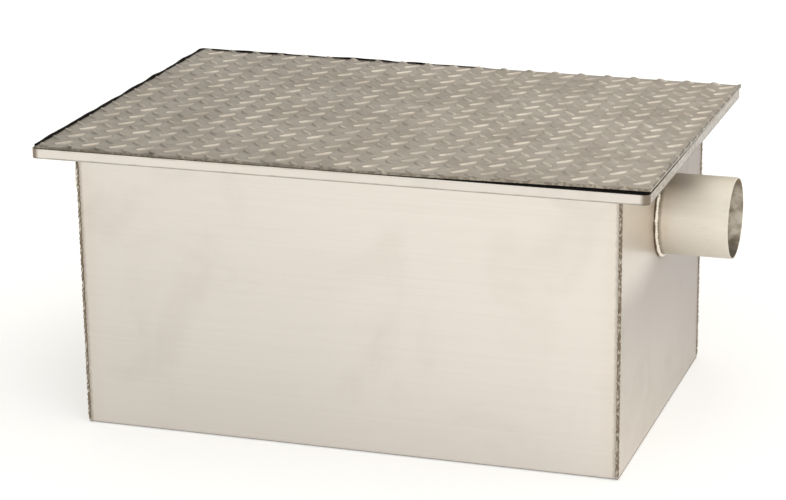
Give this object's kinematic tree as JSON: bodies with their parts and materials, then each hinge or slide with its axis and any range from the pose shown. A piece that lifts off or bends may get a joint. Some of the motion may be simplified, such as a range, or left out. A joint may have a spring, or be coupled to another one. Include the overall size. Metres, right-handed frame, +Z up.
{
  "type": "grease trap",
  "caption": "Free-standing stainless steel grease trap: folded box tank with an outward rim, loose tread-plate lid on a rubber seal, pipe stubs at both ends, baffles and a strainer basket.",
  "frame": {"origin": "centre of the tank's underside, on the ground", "axes": "+X along the flow towards the outlet, +Y from front to back, +Z up"},
  "size_m": [0.946, 0.59, 0.408],
  "materials": {
    "sheet": "satin stainless sheet",
    "tread": "rolled stainless tread plate",
    "tube": "drawn stainless tube",
    "weld": "rough weld bead",
    "seal": "matt black rubber"
  },
  "bodies": {
    "root": {"tank_wrapper": "sheet", "inlet_end_plate": "sheet", "outlet_end_plate": "sheet", "rim_edge": "sheet", "corner_welds": "weld", "inlet_stub": "tube", "outlet_stub": "tube", "inlet_stub_weld": "weld", "outlet_stub_weld": "weld", "inlet_baffle": "sheet", "outlet_baffle": "sheet", "inlet_guide_front": "sheet", "inlet_guide_back": "sheet", "outlet_guide_front": "sheet", "outlet_guide_back": "sheet", "strainer_ledge_front": "sheet", "strainer_ledge_back": "sheet", "strainer_basket": "sheet", "strainer_handle_front": "sheet", "strainer_handle_back": "sheet", "lid_seal": "seal", "lid_plate": "tread", "lid_cleats": "sheet"}
  },
  "joints": []
}
